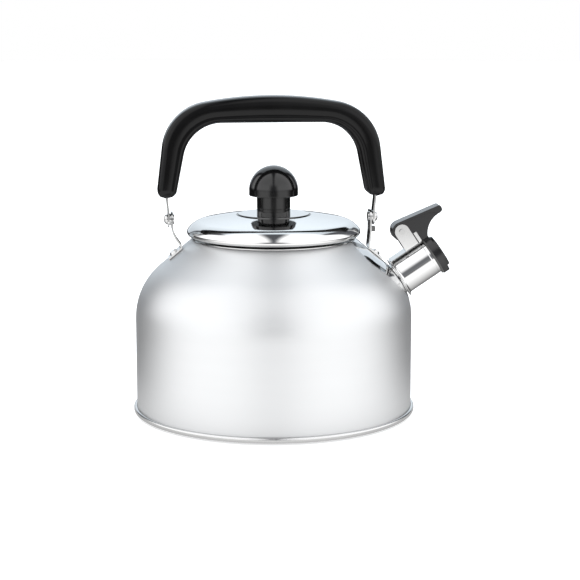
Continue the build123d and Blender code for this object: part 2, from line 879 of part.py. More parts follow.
with BuildPart() as cap_cover:
    with BuildSketch(spout_plane.offset(cap_end)):
        Circle(cap_cover_radius)
    extrude(amount=cap_cover_height)
    fillet(
        cap_cover.edges().sort_by(
            lambda edge: spout_plane.to_local_coords(edge.center()).Z
        )[-1],
        radius=0.8,
    )
    with BuildSketch(spout_plane.offset(cap_end)):
        Circle(steam_hole)
    extrude(amount=cap_cover_height, mode=Mode.SUBTRACT)

cap_cover.part.label = "cap_cover"
export_step(cap_cover.part, "parts/cap_cover.step")
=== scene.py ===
"""Looks for the stovetop whistling kettle: materials, fine pieces, studio and camera."""

import json
import math

import bmesh
import bpy
from mathutils import Matrix, Vector


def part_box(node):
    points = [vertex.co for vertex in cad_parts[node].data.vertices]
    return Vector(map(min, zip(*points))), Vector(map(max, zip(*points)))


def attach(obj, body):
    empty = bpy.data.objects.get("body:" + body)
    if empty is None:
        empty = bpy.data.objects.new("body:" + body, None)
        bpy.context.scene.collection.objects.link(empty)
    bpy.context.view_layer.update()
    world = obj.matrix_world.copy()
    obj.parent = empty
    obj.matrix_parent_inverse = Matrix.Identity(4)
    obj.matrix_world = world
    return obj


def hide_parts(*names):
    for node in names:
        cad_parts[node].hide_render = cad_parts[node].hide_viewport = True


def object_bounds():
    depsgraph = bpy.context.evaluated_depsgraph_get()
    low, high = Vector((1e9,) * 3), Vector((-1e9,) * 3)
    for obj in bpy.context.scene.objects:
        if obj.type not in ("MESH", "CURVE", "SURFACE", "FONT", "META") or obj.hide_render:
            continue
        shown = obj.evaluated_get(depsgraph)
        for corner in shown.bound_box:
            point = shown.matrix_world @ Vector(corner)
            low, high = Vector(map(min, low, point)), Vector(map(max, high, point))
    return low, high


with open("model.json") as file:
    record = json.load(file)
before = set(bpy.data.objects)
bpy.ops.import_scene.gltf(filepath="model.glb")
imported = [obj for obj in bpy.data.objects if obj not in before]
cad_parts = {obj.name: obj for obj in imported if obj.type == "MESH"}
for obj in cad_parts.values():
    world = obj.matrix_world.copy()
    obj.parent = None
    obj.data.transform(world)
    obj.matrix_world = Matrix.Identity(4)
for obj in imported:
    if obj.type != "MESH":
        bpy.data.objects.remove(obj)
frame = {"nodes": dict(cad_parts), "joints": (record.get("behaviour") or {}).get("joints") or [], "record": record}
cad_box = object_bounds()

MM = 0.001
# How slowly noise changes round the axis on turned steel
SLOW_ANGLE = 0.004
nodes = frame["nodes"]
joints = {joint["name"]: joint for joint in frame["joints"]}

# ---------------------------------------------------------------- node helpers


def add(tree, kind, inputs=None, **settings):
    """A shader node; inputs maps a socket's name or number to a value or to a socket."""
    node = tree.nodes.new(kind)
    for name, value in settings.items():
        setattr(node, name, value)
    for name, value in (inputs or {}).items():
        if isinstance(value, bpy.types.NodeSocket):
            tree.links.new(value, node.inputs[name])
        else:
            node.inputs[name].default_value = value
    return node


def math_node(tree, operation, *values):
    """The result of a math node on values or sockets."""
    return add(tree, "ShaderNodeMath", dict(enumerate(values)), operation=operation).outputs[0]


def remap(tree, value, low, high, to_low=0.0, to_high=1.0, smooth=False):
    """The value carried from low..high to to_low..to_high, and held level beyond them."""
    kind = "SMOOTHSTEP" if smooth else "LINEAR"
    return add(
        tree,
        "ShaderNodeMapRange",
        {0: value, 1: low, 2: high, 3: to_low, 4: to_high},
        interpolation_type=kind,
    ).outputs[0]


def noise(tree, vector, scale, detail=3.0, roughness=0.5):
    """Cloudy noise from 0 to 1; scale is in features per metre."""
    return add(
        tree,
        "ShaderNodeTexNoise",
        {"Vector": vector, "Scale": scale, "Detail": detail, "Roughness": roughness},
    ).outputs["Fac"]


def mix_colour(tree, factor, first, second):
    """The first colour at factor 0, the second at factor 1."""
    node = add(tree, "ShaderNodeMix", data_type="RGBA")
    for socket, value in zip(
        (node.inputs[0], node.inputs[6], node.inputs[7]), (factor, first, second)
    ):
        if isinstance(value, bpy.types.NodeSocket):
            tree.links.new(value, socket)
        else:
            socket.default_value = value
    return node.outputs[2]


def new_material(name):
    """A fresh material with its node tree, its shader and its position in metres."""
    material = bpy.data.materials.new(name)
    material.use_nodes = True
    tree = material.node_tree
    tree.nodes.clear()
    shader = add(tree, "ShaderNodeBsdfPrincipled")
    output = add(tree, "ShaderNodeOutputMaterial")
    tree.links.new(shader.outputs[0], output.inputs[0])
    position = add(tree, "ShaderNodeTexCoord").outputs["Object"]
    return material, tree, shader, position


def grey(value, tint):
    """A grey level with a slight tint, as a colour."""
    return (value * tint[0], value * tint[1], value * tint[2], 1.0)


def turned_coordinates(tree, position):
    """Radius, a slow angle, and height: noise on these runs in rings round the Z axis."""
    parts = add(tree, "ShaderNodeSeparateXYZ", {0: position})
    x, y, z = parts.outputs
    flat = add(tree, "ShaderNodeCombineXYZ", {0: x, 1: y, 2: 0.0}).outputs[0]
    radius = add(tree, "ShaderNodeVectorMath", {0: flat}, operation="LENGTH").outputs["Value"]
    angle = math_node(tree, "ARCTAN2", y, x)
    slow = math_node(tree, "MULTIPLY", angle, SLOW_ANGLE)
    return add(tree, "ShaderNodeCombineXYZ", {0: radius, 1: slow, 2: z}).outputs[0]


def bump(tree, shader, height, distance):
    """Relief of that height, for texture too fine to model, up to a distance in metres."""
    node = add(tree, "ShaderNodeBump", {"Height": height, "Distance": distance, "Strength": 1.0})
    tree.links.new(node.outputs[0], shader.inputs["Normal"])


# ---------------------------------------------------------------- materials
SATIN_RELIEF = 7e-7
SHEET_WAVE = 6e-6
METAL_GRAIN = 3e-6
PLASTIC_GRAIN = 3e-6
HAIRLINE_STRETCH = (1.0, 0.12, 0.35)
MIRROR_GREY = 0.66
MIRROR_ROUGH = 0.12
MIRROR_RELIEF = 0.05
# Grey shares for painted shade: below the lid's hem, and in the step round its plateau
HEM_PAINTED_SHADE = 0.45
STEP_PAINTED_SHADE = 0.07


def satin(name, value, tint, rough, spread, aniso, mirror):
    """Steel rubbed in rings round the axis. mirror is (point, axis, inner, outer): the
    polished patch round a line, from its full shine to where the satin takes over."""
    material, tree, shader, position = new_material(name)
    rings = turned_coordinates(tree, position)
    lines = noise(tree, rings, 2600.0, 4.0, 0.7)
    bands = noise(tree, rings, 160.0, 2.0)
    cloud = noise(tree, position, 22.0, 3.0)
    tone = math_node(tree, "ADD", remap(tree, lines, 0.3, 0.7, -0.012, 0.012),
                     remap(tree, cloud, 0.3, 0.7, -0.02, 0.02))
    shade = math_node(tree, "ADD", tone, 0.5)
    colour = mix_colour(tree, shade, grey(value * 0.8, tint), grey(value * 1.2, tint))
    satin_rough = math_node(
        tree, "ADD", remap(tree, lines, 0.3, 0.7, rough - spread, rough + spread),
        remap(tree, bands, 0.35, 0.65, -0.5 * spread, 0.5 * spread),
    )
    point, axis, inner, outer = mirror
    offset = add(tree, "ShaderNodeVectorMath", {0: position, 1: point},
                 operation="SUBTRACT").outputs[0]
    across = add(tree, "ShaderNodeVectorMath", {0: offset, 1: axis},
                 operation="CROSS_PRODUCT").outputs[0]
    away = add(tree, "ShaderNodeVectorMath", {0: across}, operation="LENGTH").outputs["Value"]
    side = add(tree, "ShaderNodeVectorMath", {0: offset, 1: axis},
               operation="DOT_PRODUCT").outputs["Value"]
    near = remap(tree, side, -0.10, -0.06)
    uneven = math_node(tree, "ADD", away, remap(tree, cloud, 0.3, 0.7, -0.002, 0.002))
    shine = math_node(tree, "MULTIPLY", remap(tree, uneven, outer, inner, smooth=True), near)
    satin_rough = math_node(
        tree, "MULTIPLY", satin_rough, remap(tree, shine, 0.0, 1.0, 1.0, MIRROR_ROUGH)
    )
    colour = mix_colour(tree, shine, colour, grey(MIRROR_GREY, tint))
    height = math_node(tree, "MULTIPLY", lines, remap(tree, shine, 0.0, 1.0, 1.0, MIRROR_RELIEF))
    tree.links.new(colour, shader.inputs["Base Color"])
    tree.links.new(satin_rough, shader.inputs["Roughness"])
    shader.inputs["Metallic"].default_value = 1.0
    shader.inputs["Anisotropic"].default_value = aniso
    shader.inputs["Anisotropic Rotation"].default_value = 0.25
    tangent = add(tree, "ShaderNodeTangent", direction_type="RADIAL", axis="Z")
    tree.links.new(tangent.outputs[0], shader.inputs["Tangent"])
    bump(tree, shader, height, SATIN_RELIEF)
    return material


def polished(name, value, tint, rough):
    """Mirror steel: faint smudges and hairlines in its shine, and a slightly uneven sheet."""
    material, tree, shader, position = new_material(name)
    smudge = noise(tree, position, 55.0, 4.0, 0.6)
    hair = noise(
        tree,
        add(tree, "ShaderNodeVectorMath", {0: position, 1: HAIRLINE_STRETCH},
            operation="MULTIPLY").outputs[0],
        700.0, 3.0, 0.7,
    )
    tone = math_node(tree, "ADD", smudge, remap(tree, hair, 0.3, 0.7, -0.1, 0.1))
    colour = mix_colour(tree, tone, grey(value * 0.96, tint), grey(value * 1.03, tint))
    tree.links.new(colour, shader.inputs["Base Color"])
    shine = math_node(
        tree, "ADD", remap(tree, smudge, 0.35, 0.7, 0.75 * rough, 1.4 * rough),
        remap(tree, hair, 0.55, 0.75, 0.0, 0.5 * rough),
    )
    tree.links.new(shine, shader.inputs["Roughness"])
    shader.inputs["Metallic"].default_value = 1.0
    bump(tree, shader, noise(tree, position, 30.0, 1.0), SHEET_WAVE)
    return material


def polished_with_painted_shade(name, value, tint, rough, step_radius):
    """Mirror steel with painted shade: downward-facing faces such as the turned-in hem, and a thin ring at the
    step at a radius, are painted dark.
    """
    material = polished(name, value, tint, rough)
    tree = material.node_tree
    shader = next(node for node in tree.nodes if node.type == "BSDF_PRINCIPLED")
    unshaded_colour = shader.inputs["Base Color"].links[0].from_socket
    # Painted shade: faces turned downwards, as on the hem, are painted darker to stand in for the shade there
    facing = add(tree, "ShaderNodeSeparateXYZ",
                 {0: add(tree, "ShaderNodeNewGeometry").outputs["Normal"]}).outputs[2]
    under = remap(tree, facing, -0.7, -0.97, smooth=True)
    colour = mix_colour(tree, under, unshaded_colour, grey(HEM_PAINTED_SHADE * value, tint))
    # Painted shade: a thin dark ring at the step's radius stands in for the shade in that recess
    spot = add(tree, "ShaderNodeTexCoord").outputs["Object"]
    flat = add(tree, "ShaderNodeVectorMath", {0: spot, 1: (1.0, 1.0, 0.0)},
               operation="MULTIPLY").outputs[0]
    radius = add(tree, "ShaderNodeVectorMath", {0: flat}, operation="LENGTH").outputs["Value"]
    from_step = math_node(tree, "ABSOLUTE", math_node(tree, "SUBTRACT", radius, step_radius))
    step_shade = remap(tree, from_step, 0.0010, 0.0006, smooth=True)
    colour = mix_colour(tree, step_shade, colour, grey(STEP_PAINTED_SHADE, tint))
    tree.links.new(colour, shader.inputs["Base Color"])
    return material


def moulded(name, value, tint, rough, depth=PLASTIC_GRAIN, specular=0.5):
    """Moulded black plastic or silicone: fine grain, slow tone changes, uneven gloss."""
    material, tree, shader, position = new_material(name)
    fine = noise(tree, position, 2200.0, 2.0, 0.6)
    flow = noise(tree, position, 38.0, 3.0)
    colour = mix_colour(
        tree, remap(tree, flow, 0.3, 0.7), grey(value * 0.8, tint), grey(value * 1.25, tint)
    )
    tree.links.new(colour, shader.inputs["Base Color"])
    gloss = math_node(
        tree, "ADD", remap(tree, flow, 0.3, 0.7, rough - 0.03, rough + 0.03),
        remap(tree, fine, 0.3, 0.7, -0.02, 0.02),
    )
    tree.links.new(gloss, shader.inputs["Roughness"])
    shader.inputs["Specular IOR Level"].default_value = specular
    bump(tree, shader, fine, depth)
    return material


def matte_metal(name, value, tint, rough):
    """A plain metal face with a fine even grain and slow tone changes."""
    material, tree, shader, position = new_material(name)
    fine = noise(tree, position, 1800.0, 3.0, 0.6)
    slow = noise(tree, position, 90.0, 3.0)
    colour = mix_colour(tree, slow, grey(value * 0.9, tint), grey(value * 1.08, tint))
    tree.links.new(colour, shader.inputs["Base Color"])
    tree.links.new(
        math_node(tree, "ADD", remap(tree, fine, 0.3, 0.7, rough - 0.05, rough + 0.05),
                  remap(tree, slow, 0.3, 0.7, -0.03, 0.03)),
        shader.inputs["Roughness"],
    )
    shader.inputs["Metallic"].default_value = 1.0
    bump(tree, shader, fine, METAL_GRAIN)
    return material


STEEL_TINT = (1.0, 1.0, 0.995)
# The polished patch on the body, in metres: how far over the spout's line its middle runs,
# and where its shine begins to fade and ends
PATCH_OVER = 0.020
PATCH_INNER = 0.034
PATCH_OUTER = 0.039
# The radius of the step round the lid's plateau, where a thin ring of painted shade runs, in metres
LID_STEP = 0.0264

spout_axis = Vector(joints["whistle_pull"]["axis"]).normalized()
sleeve_low, sleeve_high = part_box("whistle_sleeve")
spout_point = (sleeve_low + sleeve_high) / 2
spout_point = Vector((spout_point.x, 0.0, spout_point.z))
across_spout = Vector((-spout_axis.z, 0.0, spout_axis.x))
mirror_point = spout_point + PATCH_OVER * across_spout

finishes = {
    "satin_steel": satin("satin_steel", 0.63, (0.99, 1.0, 1.008), 0.47, 0.02, 0.35,
                         mirror=(mirror_point, spout_axis, PATCH_INNER, PATCH_OUTER)),
    "seam_steel": polished("seam_steel", 0.56, STEEL_TINT, 0.16),
    "polished_steel": polished("polished_steel", 0.64, STEEL_TINT, 0.035),
    "lid_steel": polished_with_painted_shade("lid_steel", 0.64, STEEL_TINT, 0.07, LID_STEP),
    "bracket_steel": polished("bracket_steel", 0.58, STEEL_TINT, 0.12),
    "strap_steel": polished("strap_steel", 0.58, STEEL_TINT, 0.14),
    "rivet_steel": polished("rivet_steel", 0.55, STEEL_TINT, 0.16),
    "spring_wire": matte_metal("spring_wire", 0.50, STEEL_TINT, 0.28),
    "disc_steel": matte_metal("disc_steel", 0.60, STEEL_TINT, 0.25),
    "magnetic_steel": matte_metal("magnetic_steel", 0.42, STEEL_TINT, 0.36),
    "core_aluminium": matte_metal("core_aluminium", 0.75, (1.0, 1.0, 1.0), 0.38),
    "brass": matte_metal("brass", 0.75, (1.0, 0.78, 0.42), 0.30),
    "silicone": moulded("silicone", 0.10, (1.0, 0.99, 0.97), 0.55),
    "black_knob": moulded("black_knob", 0.004, (1.0, 1.0, 1.05), 0.13, depth=1e-6),
    "black_grip": moulded("black_grip", 0.004, (1.0, 1.0, 1.04), 0.14, specular=0.18),
    "black_lever": moulded("black_lever", 0.008, (1.0, 1.0, 1.04), 0.22),
}

slot_of = {entry["node"]: entry["material_slot"] for entry in frame["record"]["subparts"]}


def paint(obj, material):
    """Gives the object this one material."""
    obj.data.materials.clear()
    obj.data.materials.append(material)


for node_name, obj in nodes.items():
    paint(obj, finishes[slot_of[node_name]])
paint(nodes["whistle_bracket"], finishes["bracket_steel"])

# ---------------------------------------------------------------- shaped pieces
# Profiles are in millimetres. They stop just short of the axis, so that no face collapses,
# and long straight runs get extra points near their ends to keep the shading flat.
NEAR_AXIS = 0.01
LONG_RUN = 0.9
SUPPORT_GAP = 0.12


def arc(centre, radius, start, end, steps):
    """Points along an arc in the plane of a profile, angles in degrees."""
    points = []
    for step in range(steps + 1):
        angle = math.radians(start + (end - start) * step / steps)
        points.append((centre[0] + radius * math.cos(angle), centre[1] + radius * math.sin(angle)))
    return points


def rounded_path(points, radii, steps=24):
    """A chain of straight runs whose corners are tangent arcs of the given radii."""
    path = [Vector(points[0])]
    for before, corner, after, radius in zip(points, points[1:], points[2:], radii):
        corner = Vector(corner)
        back = (Vector(before) - corner).normalized()
        ahead = (Vector(after) - corner).normalized()
        half = back.angle(ahead) / 2
        centre = corner + (back + ahead).normalized() * (radius / math.sin(half))
        first = corner + back * (radius / math.tan(half)) - centre
        last = corner + ahead * (radius / math.tan(half)) - centre
        for step in range(steps + 1):
            path.append(centre + first.slerp(last, step / steps).normalized() * radius)
    path.append(Vector(points[-1]))
    return path


def distances(path):
    """How far along the path each of its points is."""
    lengths = [0.0]
    for first, last in zip(path, path[1:]):
        lengths.append(lengths[-1] + (last - first).length)
    return lengths


def evenly(path, count):
    """That many points at equal distances along a path."""
    lengths = distances(path)
    spots = []
    index = 0
    for number in range(count):
        target = lengths[-1] * number / (count - 1)
        while index < len(path) - 2 and lengths[index + 1] < target:
            index += 1
        share = (target - lengths[index]) / (lengths[index + 1] - lengths[index])
        spots.append(path[index].lerp(path[index + 1], share))
    return spots


def power(value, exponent):
    """The power of the value's size, with the value's sign."""
    return math.copysign(abs(value) ** exponent, value)


def new_piece(name, vertices, faces, body, slot, sharp=35.0):
    """A piece given in millimetres, riding on a body, its finish taken from a slot. Edges
    that bend by more than sharp degrees stay sharp."""
    mesh = bpy.data.meshes.new(name)
    mesh.from_pydata([Vector(vertex) * MM for vertex in vertices], [], faces)
    shape = bmesh.new()
    shape.from_mesh(mesh)
    bmesh.ops.remove_doubles(shape, verts=shape.verts, dist=1e-7)
    bmesh.ops.recalc_face_normals(shape, faces=shape.faces)
    shape.to_mesh(mesh)
    shape.free()
    mesh.shade_smooth()
    mesh.set_sharp_from_angle(angle=math.radians(sharp))
    piece = bpy.data.objects.new(name, mesh)
    bpy.context.scene.collection.objects.link(piece)
    paint(piece, finishes[slot])
    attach(piece, body)
    return piece


def supported(profile):
    """The same closed profile with points close to the ends of its long straight runs."""
    points = []
    for here, there in zip(profile, [*profile[1:], profile[0]]):
        here, there = Vector(here), Vector(there)
        points.append(here)
        run = there - here
        if run.length > LONG_RUN:
            points.append(here + run.normalized() * SUPPORT_GAP)
            points.append(there - run.normalized() * SUPPORT_GAP)
    return points


def lathe(name, profile, body, slot, segments=192, placing=None):
    """A closed profile of (radius, height) turned round the Z axis, then placed by a matrix."""
    placing = placing or Matrix.Identity(4)
    profile = supported(profile)
    vertices = []
    for turn_step in range(segments):
        angle = 2 * math.pi * turn_step / segments
        for radius, height in profile:
            spot = Vector((radius * math.cos(angle), radius * math.sin(angle), height))
            vertices.append(placing @ spot)
    count = len(profile)
    faces = []
    for turn_step in range(segments):
        here = turn_step * count
        there = (turn_step + 1) % segments * count
        for index in range(count):
            after = (index + 1) % count
            faces.append((here + index, there + index, there + after, here + after))
    return new_piece(name, vertices, faces, body, slot)


def skin(stations, ring):
    """Faces over that many rings of points, one after the other, with a cap at each end."""
    last = (stations - 1) * ring
    faces = [tuple(range(ring)), tuple(last + step for step in reversed(range(ring)))]
    for station in range(stations - 1):
        here, there = station * ring, (station + 1) * ring
        for step in range(ring):
            after = (step + 1) % ring
            faces.append((here + step, here + after, there + after, there + step))
    return faces


def tube(name, path, radius, body, slot, ring=12):
    """A round wire along a path, closed at both ends."""
    path = [Vector(point) for point in path]
    heading = (path[1] - path[0]).normalized()
    side = heading.orthogonal().normalized()
    vertices = []
    for index, point in enumerate(path):
        before = path[max(index - 1, 0)]
        after = path[min(index + 1, len(path) - 1)]
        heading = (after - before).normalized()
        side = (side - heading * side.dot(heading)).normalized()
        other = heading.cross(side)
        for step in range(ring):
            angle = 2 * math.pi * step / ring
            vertices.append(point + (side * math.cos(angle) + other * math.sin(angle)) * radius)
    return new_piece(name, vertices, skin(len(path), ring), body, slot, sharp=50.0)


# The rolled seam round the foot, with the pan behind it
seam_low, seam_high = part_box("base_pan")
SEAM_RADIUS = -cad_box[0].x / MM
SEAM_TOP = seam_high.z / MM
SEAM_BOTTOM = seam_low.z / MM
SEAM_ROUND = 1.5
WALL_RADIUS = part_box("kettle_body")[1].x / MM
PAN_UNDER = 3.0
PAN_THICK = 0.8
# How far inside (or outside) the wall the pan's parts run
PAN_FLOOR_IN = 3.5
SEAM_FOOT_IN = 1.2
PAN_WALL_IN = 0.05
HEM_OUT = 0.3
HEM_TUCK_OUT = 0.1
HEM_TUCK = 0.5
seam_profile = [
    (NEAR_AXIS, PAN_UNDER),
    (WALL_RADIUS - PAN_FLOOR_IN, PAN_UNDER),
    (WALL_RADIUS - SEAM_FOOT_IN, SEAM_BOTTOM),
    *arc((SEAM_RADIUS - SEAM_ROUND, SEAM_BOTTOM + SEAM_ROUND), SEAM_ROUND, -90, 0, 8),
    *arc((SEAM_RADIUS - SEAM_ROUND, SEAM_TOP - SEAM_ROUND), SEAM_ROUND, 0, 90, 8),
    (WALL_RADIUS + HEM_OUT, SEAM_TOP),
    (WALL_RADIUS + HEM_TUCK_OUT, SEAM_TOP - HEM_TUCK),
    (WALL_RADIUS - PAN_WALL_IN, PAN_UNDER + PAN_THICK),
    (NEAR_AXIS, PAN_UNDER + PAN_THICK),
]
seam = lathe("rolled_seam", seam_profile, "vessel", "seam_steel", segments=256)
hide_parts("base_pan")

# The lid: a rolled rim, a turn, a shallow crown, and a step up to the knob's flat seat
lid_low, lid_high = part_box("lid_shell")
LID_RADIUS = lid_high.x / MM
SHEET = 0.6
RIM_RADIUS = 3.0
RIM_RAISE = 4.57
RIM_HEIGHT = lid_low.z / MM + RIM_RAISE
RIM_START = -95
RIM_TURN = 35.0
TURN_RADIUS = 16.0
CROWN_START = 78.0
CROWN_RADIUS = 220.0
PLATEAU_RADIUS = 26.0
PLATEAU_TOP = lid_high.z / MM
STEP_ROUND = 0.55
STEP_FOOT = PLATEAU_TOP - 2 * STEP_ROUND
LID_BORE = 2.2
rim_centre = Vector((LID_RADIUS - RIM_RADIUS, RIM_HEIGHT))
turn_centre = rim_centre + Vector(arc((0, 0), RIM_RADIUS - TURN_RADIUS, RIM_TURN, RIM_TURN, 1)[0])
crown_centre = turn_centre + Vector(
    arc((0, 0), TURN_RADIUS - CROWN_RADIUS, CROWN_START, CROWN_START, 1)[0]
)
groove_radius = PLATEAU_RADIUS + 2 * STEP_ROUND
crown_end = math.degrees(math.acos((groove_radius - crown_centre.x) / CROWN_RADIUS))
outer_lid = [
    *arc(rim_centre, RIM_RADIUS, RIM_START, RIM_TURN, 18),
    *arc(turn_centre, TURN_RADIUS, RIM_TURN, CROWN_START, 14)[1:],
    *arc(crown_centre, CROWN_RADIUS, CROWN_START, crown_end, 18)[1:],
    (PLATEAU_RADIUS + STEP_ROUND, STEP_FOOT),
    *arc((PLATEAU_RADIUS - STEP_ROUND, PLATEAU_TOP - STEP_ROUND), STEP_ROUND, 0, 90, 5),
    (LID_BORE, PLATEAU_TOP),
]
inner_lid = [
    (LID_BORE, PLATEAU_TOP - SHEET),
    (PLATEAU_RADIUS - STEP_ROUND, PLATEAU_TOP - SHEET),
    (groove_radius, STEP_FOOT - SHEET),
    *arc(crown_centre, CROWN_RADIUS - SHEET, crown_end, CROWN_START, 18)[1:],
    *arc(turn_centre, TURN_RADIUS - SHEET, CROWN_START, RIM_TURN, 14)[1:],
    *arc(rim_centre, RIM_RADIUS - SHEET, RIM_TURN, RIM_START, 18)[1:],
]
lid_piece = lathe("lid_dome", outer_lid + inner_lid, "lid", "polished_steel", segments=256)
paint(lid_piece, finishes["lid_steel"])
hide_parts("lid_shell")

# The lid's knob: a plain neck with two fine lines near its foot, under a domed cap
knob_low, knob_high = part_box("lid_knob")
KNOB_FOOT = knob_low.z / MM
KNOB_TOP = knob_high.z / MM
CAP_RADIUS = knob_high.x / MM
NECK_RADIUS = 12.1
CAP_UNDERSIDE = 158.2
CAP_ROUND = 0.7
INSERT_BORE = 5.0
LINE_HEIGHTS = (1.9, 3.9)
LINE_DEPTH = 0.16
LINE_HALF = 0.22
neck_lines = []
for line_height in LINE_HEIGHTS:
    neck_lines.append((NECK_RADIUS, KNOB_FOOT + line_height - LINE_HALF))
    neck_lines.append((NECK_RADIUS - LINE_DEPTH, KNOB_FOOT + line_height))
    neck_lines.append((NECK_RADIUS, KNOB_FOOT + line_height + LINE_HALF))
knob_profile = [
    (INSERT_BORE, KNOB_FOOT),
    (NECK_RADIUS, KNOB_FOOT),
    *neck_lines,
    (NECK_RADIUS, CAP_UNDERSIDE),
    *arc((CAP_RADIUS - CAP_ROUND, CAP_UNDERSIDE + CAP_ROUND), CAP_ROUND, -90, 0, 6),
    *arc((0, KNOB_TOP - CAP_RADIUS), CAP_RADIUS, 0, 89.5, 40),
    (NEAR_AXIS, KNOB_TOP),
    (NEAR_AXIS, CAP_UNDERSIDE),
    (INSERT_BORE, CAP_UNDERSIDE),
]
knob = lathe("domed_knob", knob_profile, "lid", "black_knob")
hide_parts("lid_knob")

# The whistle's sleeve: a thin flange drawn out of it with a hollow curve, a fine line near
# its end, and a rounded mouth. Its heights run along the spout from the spout's seat.
SPOUT_SEAT = Vector((92.6, 0.0, 96.4))
SLEEVE_RADIUS = 13.5
SLEEVE_START = -0.4
SLEEVE_END = 28.3
FLANGE_RADIUS = 15.8
FLANGE_THICK = 0.8
FLANGE_TOP = SLEEVE_START + FLANGE_THICK
HOLLOW = 1.9
MOUTH_LINE = 2.1
MOUTH_LINE_HALF = 0.35
MOUTH_LINE_DEPTH = 0.14
MOUTH_ROUND = 0.3
sleeve_turn = Vector((0, 0, 1)).rotation_difference(spout_axis).to_matrix().to_4x4()
sleeve_place = Matrix.Translation(SPOUT_SEAT) @ sleeve_turn
sleeve_profile = [
    (SLEEVE_RADIUS - SHEET, SLEEVE_START),
    (FLANGE_RADIUS - FLANGE_THICK / 2, SLEEVE_START),
    *arc((FLANGE_RADIUS - FLANGE_THICK / 2, SLEEVE_START + FLANGE_THICK / 2),
         FLANGE_THICK / 2, -90, 90, 6)[1:],
    *arc((SLEEVE_RADIUS + HOLLOW, FLANGE_TOP + HOLLOW), HOLLOW, 270, 180, 8),
    (SLEEVE_RADIUS, SLEEVE_END - MOUTH_LINE - MOUTH_LINE_HALF),
    (SLEEVE_RADIUS - MOUTH_LINE_DEPTH, SLEEVE_END - MOUTH_LINE),
    (SLEEVE_RADIUS, SLEEVE_END - MOUTH_LINE + MOUTH_LINE_HALF),
    *arc((SLEEVE_RADIUS - MOUTH_ROUND, SLEEVE_END - MOUTH_ROUND), MOUTH_ROUND, 0, 90, 4),
    (SLEEVE_RADIUS - SHEET, SLEEVE_END),
]
sleeve = lathe("drawn_sleeve", sleeve_profile, "whistle", "polished_steel", 128, sleeve_place)
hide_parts("whistle_sleeve")

# The closing spring: its coil and lower leg stay with the bracket, and its upper leg goes
# with the lever
COIL_RADIUS = 2.1
WIRE_RADIUS = 0.3
COIL_PITCH = 0.75
COIL_START = 270.0
COIL_STEPS = 110
UPPER_LEG = 7.0
SPOUT_ANGLE = math.degrees(math.atan2(spout_axis.z, spout_axis.x))
COIL_TURNS = 4 + (COIL_START - SPOUT_ANGLE - 90) / 360
pin_spot = Vector(joints["lever_open"]["pos_m"]) / MM
spring_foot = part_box("lever_spring")[0].z / MM + WIRE_RADIUS
coil_height = COIL_PITCH * COIL_TURNS
coil_path = []
for step in range(COIL_STEPS + 1):
    share = step / COIL_STEPS
    angle = math.radians(COIL_START - 360 * COIL_TURNS * share)
    coil_path.append(Vector((
        pin_spot.x + COIL_RADIUS * math.cos(angle),
        coil_height * (0.5 - share),
        pin_spot.z + COIL_RADIUS * math.sin(angle),
    )))
leg_length = (coil_path[0].z - spring_foot) / across_spout.z
leg_foot = coil_path[0] - across_spout * leg_length
coil = tube("spring_coil", [leg_foot, coil_path[0] - across_spout * WIRE_RADIUS, *coil_path],
            WIRE_RADIUS, "whistle", "spring_wire")
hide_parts("lever_spring")
leg_root = coil_path[-1] - spout_axis * WIRE_RADIUS
tube("spring_upper_leg", [leg_root, coil_path[-1] + spout_axis * UPPER_LEG],
     WIRE_RADIUS, "lever", "spring_wire")

# The grip: a moulded arch, broad outside, with a shallow valley and a narrow bead inside.
# Its section is swept between an outer and an inner run, drawn in at both feet.
grip_low, grip_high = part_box("handle_grip")
GRIP_MIDDLE = (grip_low.x + grip_high.x) / 2 / MM
GRIP_FOOT = grip_low.z / MM
GRIP_HALF = (grip_high.x - grip_low.x) / 2 / MM
GRIP_WIDE = (grip_high.y - grip_low.y) / 2 / MM
OUTER_FOOT = GRIP_HALF + 0.8
OUTER_CORNER = (75.1, 220.95)
OUTER_APEX = (0.0, 234.54)
OUTER_BENDS = (37.0, 265.0, 37.0)
INNER_FOOT = 69.2
INNER_CORNER = (58.5, 211.0)
INNER_BENDS = (28.0, 28.0)
STATIONS = 181
RING = 72
FOOT_ROUND = 6.4
FULLNESS = 4.2
VALLEY_AT = -0.40
VALLEY_WIDE = 0.17
VALLEY_DEEP = 0.06
outer_run = [(-OUTER_FOOT, GRIP_FOOT), (-OUTER_CORNER[0], OUTER_CORNER[1]), OUTER_APEX,
             OUTER_CORNER, (OUTER_FOOT, GRIP_FOOT)]
inner_run = [(-INNER_FOOT, GRIP_FOOT), (-INNER_CORNER[0], INNER_CORNER[1]),
             INNER_CORNER, (INNER_FOOT, GRIP_FOOT)]
outer_spots = evenly(rounded_path(outer_run, OUTER_BENDS), STATIONS)
inner_spots = evenly(rounded_path(inner_run, INNER_BENDS), STATIONS)
outer_lengths = distances(outer_spots)
grip_vertices = []
for outer_spot, inner_spot, length in zip(outer_spots, inner_spots, outer_lengths):
    middle = (outer_spot + inner_spot) / 2
    reach = (outer_spot - inner_spot) / 2
    from_foot = min(length, outer_lengths[-1] - length, FOOT_ROUND)
    drawn_in = FOOT_ROUND - math.sqrt(FOOT_ROUND**2 - (FOOT_ROUND - from_foot) ** 2)
    thick = (reach.length - drawn_in) / reach.length
    wide = GRIP_WIDE - drawn_in
    for step in range(RING):
        angle = 2 * math.pi * step / RING
        across = power(math.cos(angle), 2 / FULLNESS)
        valley = VALLEY_DEEP * math.exp(-(((across - VALLEY_AT) / VALLEY_WIDE) ** 2))
        depth = power(math.sin(angle), 2 / FULLNESS) * (1 - valley)
        spot = middle + reach * thick * across
        grip_vertices.append((GRIP_MIDDLE + spot.x, wide * depth, spot.y))
grip = new_piece("moulded_grip", grip_vertices, skin(STATIONS, RING), "bail", "black_grip",
                 sharp=60.0)
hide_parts("handle_grip")

